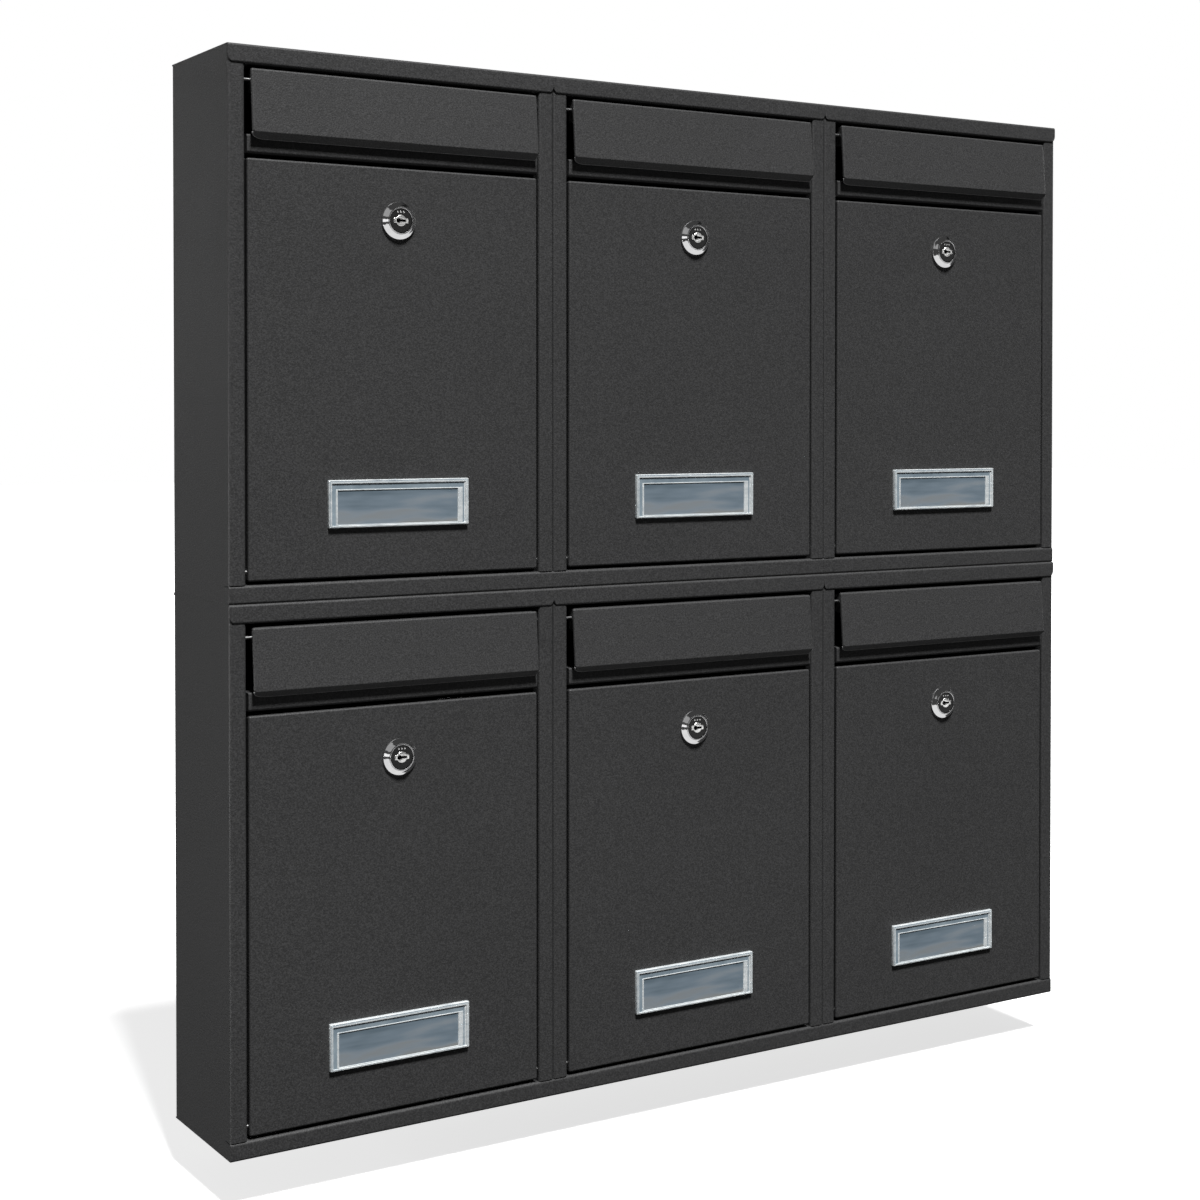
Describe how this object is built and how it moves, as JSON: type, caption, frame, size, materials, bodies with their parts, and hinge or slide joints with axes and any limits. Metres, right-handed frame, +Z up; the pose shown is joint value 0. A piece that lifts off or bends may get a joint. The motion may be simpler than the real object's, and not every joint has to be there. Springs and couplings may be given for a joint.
{
  "type": "cluster mailbox unit",
  "caption": "Wall bank of sheet steel letterboxes in columns and rows, each with a lifting letter flap, a drop-down locking door and a clear name plate holder.",
  "frame": {"origin": "centre of the whole back plane, which lies on the wall", "axes": "+X to the right of a person facing the fronts, +Y into the wall, +Z up"},
  "size_m": [0.645, 0.0946, 0.64],
  "materials": {
    "steel_shell": "fine textured anthracite powder coat",
    "steel_cover": "fine textured anthracite powder coat",
    "steel_front": "fine textured anthracite powder coat",
    "lock_chrome": "polished chrome plate",
    "lock_core": "die-cast core with a black face",
    "zinc_steel": "bright zinc plate",
    "clear_plastic": "clear moulded plastic"
  },
  "bodies": {
    "cabinet": {"upper_left_body_shell": "steel_shell", "upper_left_top_cover": "steel_cover", "upper_left_sill_rail": "steel_cover", "upper_middle_body_shell": "steel_shell", "upper_middle_top_cover": "steel_cover", "upper_middle_sill_rail": "steel_cover", "upper_right_body_shell": "steel_shell", "upper_right_top_cover": "steel_cover", "upper_right_sill_rail": "steel_cover", "lower_left_body_shell": "steel_shell", "lower_left_top_cover": "steel_cover", "lower_left_sill_rail": "steel_cover", "lower_middle_body_shell": "steel_shell", "lower_middle_top_cover": "steel_cover", "lower_middle_sill_rail": "steel_cover", "lower_right_body_shell": "steel_shell", "lower_right_top_cover": "steel_cover", "lower_right_sill_rail": "steel_cover", "flap_hinge_pins": "zinc_steel", "door_hinge_pins": "zinc_steel", "joining_bolts": "zinc_steel", "joining_nuts": "zinc_steel"},
    "upper_left_flap": {"upper_left_letter_flap": "steel_front"},
    "upper_left_front_door": {"upper_left_door": "steel_front", "upper_left_lock_housing": "lock_chrome", "upper_left_name_plate": "clear_plastic"},
    "upper_left_lock": {"upper_left_lock_plug": "lock_core", "upper_left_lock_cam": "zinc_steel"},
    "upper_middle_flap": {"upper_middle_letter_flap": "steel_front"},
    "upper_middle_front_door": {"upper_middle_door": "steel_front", "upper_middle_lock_housing": "lock_chrome", "upper_middle_name_plate": "clear_plastic"},
    "upper_middle_lock": {"upper_middle_lock_plug": "lock_core", "upper_middle_lock_cam": "zinc_steel"},
    "upper_right_flap": {"upper_right_letter_flap": "steel_front"},
    "upper_right_front_door": {"upper_right_door": "steel_front", "upper_right_lock_housing": "lock_chrome", "upper_right_name_plate": "clear_plastic"},
    "upper_right_lock": {"upper_right_lock_plug": "lock_core", "upper_right_lock_cam": "zinc_steel"},
    "lower_left_flap": {"lower_left_letter_flap": "steel_front"},
    "lower_left_front_door": {"lower_left_door": "steel_front", "lower_left_lock_housing": "lock_chrome", "lower_left_name_plate": "clear_plastic"},
    "lower_left_lock": {"lower_left_lock_plug": "lock_core", "lower_left_lock_cam": "zinc_steel"},
    "lower_middle_flap": {"lower_middle_letter_flap": "steel_front"},
    "lower_middle_front_door": {"lower_middle_door": "steel_front", "lower_middle_lock_housing": "lock_chrome", "lower_middle_name_plate": "clear_plastic"},
    "lower_middle_lock": {"lower_middle_lock_plug": "lock_core", "lower_middle_lock_cam": "zinc_steel"},
    "lower_right_flap": {"lower_right_letter_flap": "steel_front"},
    "lower_right_front_door": {"lower_right_door": "steel_front", "lower_right_lock_housing": "lock_chrome", "lower_right_name_plate": "clear_plastic"},
    "lower_right_lock": {"lower_right_lock_plug": "lock_core", "lower_right_lock_cam": "zinc_steel"}
  },
  "joints": [
    {"name": "upper_left_flap_hinge", "type": "hinge", "parent": "cabinet", "child": "upper_left_flap", "pos_m": [-0.215, -0.0856, 0.3004], "axis": [-1, 0, 0], "range_deg": [0, 90]},
    {"name": "upper_left_door_hinge", "type": "hinge", "parent": "cabinet", "child": "upper_left_front_door", "pos_m": [-0.215, -0.0856, 0.0183], "axis": [1, 0, 0], "range_deg": [0, 100]},
    {"name": "upper_left_lock_turn", "type": "hinge", "parent": "upper_left_front_door", "child": "upper_left_lock", "pos_m": [-0.215, -0.0892, 0.2241], "axis": [0, 1, 0], "range_deg": [0, 90]},
    {"name": "upper_middle_flap_hinge", "type": "hinge", "parent": "cabinet", "child": "upper_middle_flap", "pos_m": [0, -0.0856, 0.3004], "axis": [-1, 0, 0], "range_deg": [0, 90]},
    {"name": "upper_middle_door_hinge", "type": "hinge", "parent": "cabinet", "child": "upper_middle_front_door", "pos_m": [0, -0.0856, 0.0183], "axis": [1, 0, 0], "range_deg": [0, 100]},
    {"name": "upper_middle_lock_turn", "type": "hinge", "parent": "upper_middle_front_door", "child": "upper_middle_lock", "pos_m": [0, -0.0892, 0.2241], "axis": [0, 1, 0], "range_deg": [0, 90]},
    {"name": "upper_right_flap_hinge", "type": "hinge", "parent": "cabinet", "child": "upper_right_flap", "pos_m": [0.215, -0.0856, 0.3004], "axis": [-1, 0, 0], "range_deg": [0, 90]},
    {"name": "upper_right_door_hinge", "type": "hinge", "parent": "cabinet", "child": "upper_right_front_door", "pos_m": [0.215, -0.0856, 0.0183], "axis": [1, 0, 0], "range_deg": [0, 100]},
    {"name": "upper_right_lock_turn", "type": "hinge", "parent": "upper_right_front_door", "child": "upper_right_lock", "pos_m": [0.215, -0.0892, 0.2241], "axis": [0, 1, 0], "range_deg": [0, 90]},
    {"name": "lower_left_flap_hinge", "type": "hinge", "parent": "cabinet", "child": "lower_left_flap", "pos_m": [-0.215, -0.0856, -0.0196], "axis": [-1, 0, 0], "range_deg": [0, 90]},
    {"name": "lower_left_door_hinge", "type": "hinge", "parent": "cabinet", "child": "lower_left_front_door", "pos_m": [-0.215, -0.0856, -0.3017], "axis": [1, 0, 0], "range_deg": [0, 100]},
    {"name": "lower_left_lock_turn", "type": "hinge", "parent": "lower_left_front_door", "child": "lower_left_lock", "pos_m": [-0.215, -0.0892, -0.0959], "axis": [0, 1, 0], "range_deg": [0, 90]},
    {"name": "lower_middle_flap_hinge", "type": "hinge", "parent": "cabinet", "child": "lower_middle_flap", "pos_m": [0, -0.0856, -0.0196], "axis": [-1, 0, 0], "range_deg": [0, 90]},
    {"name": "lower_middle_door_hinge", "type": "hinge", "parent": "cabinet", "child": "lower_middle_front_door", "pos_m": [0, -0.0856, -0.3017], "axis": [1, 0, 0], "range_deg": [0, 100]},
    {"name": "lower_middle_lock_turn", "type": "hinge", "parent": "lower_middle_front_door", "child": "lower_middle_lock", "pos_m": [0, -0.0892, -0.0959], "axis": [0, 1, 0], "range_deg": [0, 90]},
    {"name": "lower_right_flap_hinge", "type": "hinge", "parent": "cabinet", "child": "lower_right_flap", "pos_m": [0.215, -0.0856, -0.0196], "axis": [-1, 0, 0], "range_deg": [0, 90]},
    {"name": "lower_right_door_hinge", "type": "hinge", "parent": "cabinet", "child": "lower_right_front_door", "pos_m": [0.215, -0.0856, -0.3017], "axis": [1, 0, 0], "range_deg": [0, 100]},
    {"name": "lower_right_lock_turn", "type": "hinge", "parent": "lower_right_front_door", "child": "lower_right_lock", "pos_m": [0.215, -0.0892, -0.0959], "axis": [0, 1, 0], "range_deg": [0, 90]}
  ]
}
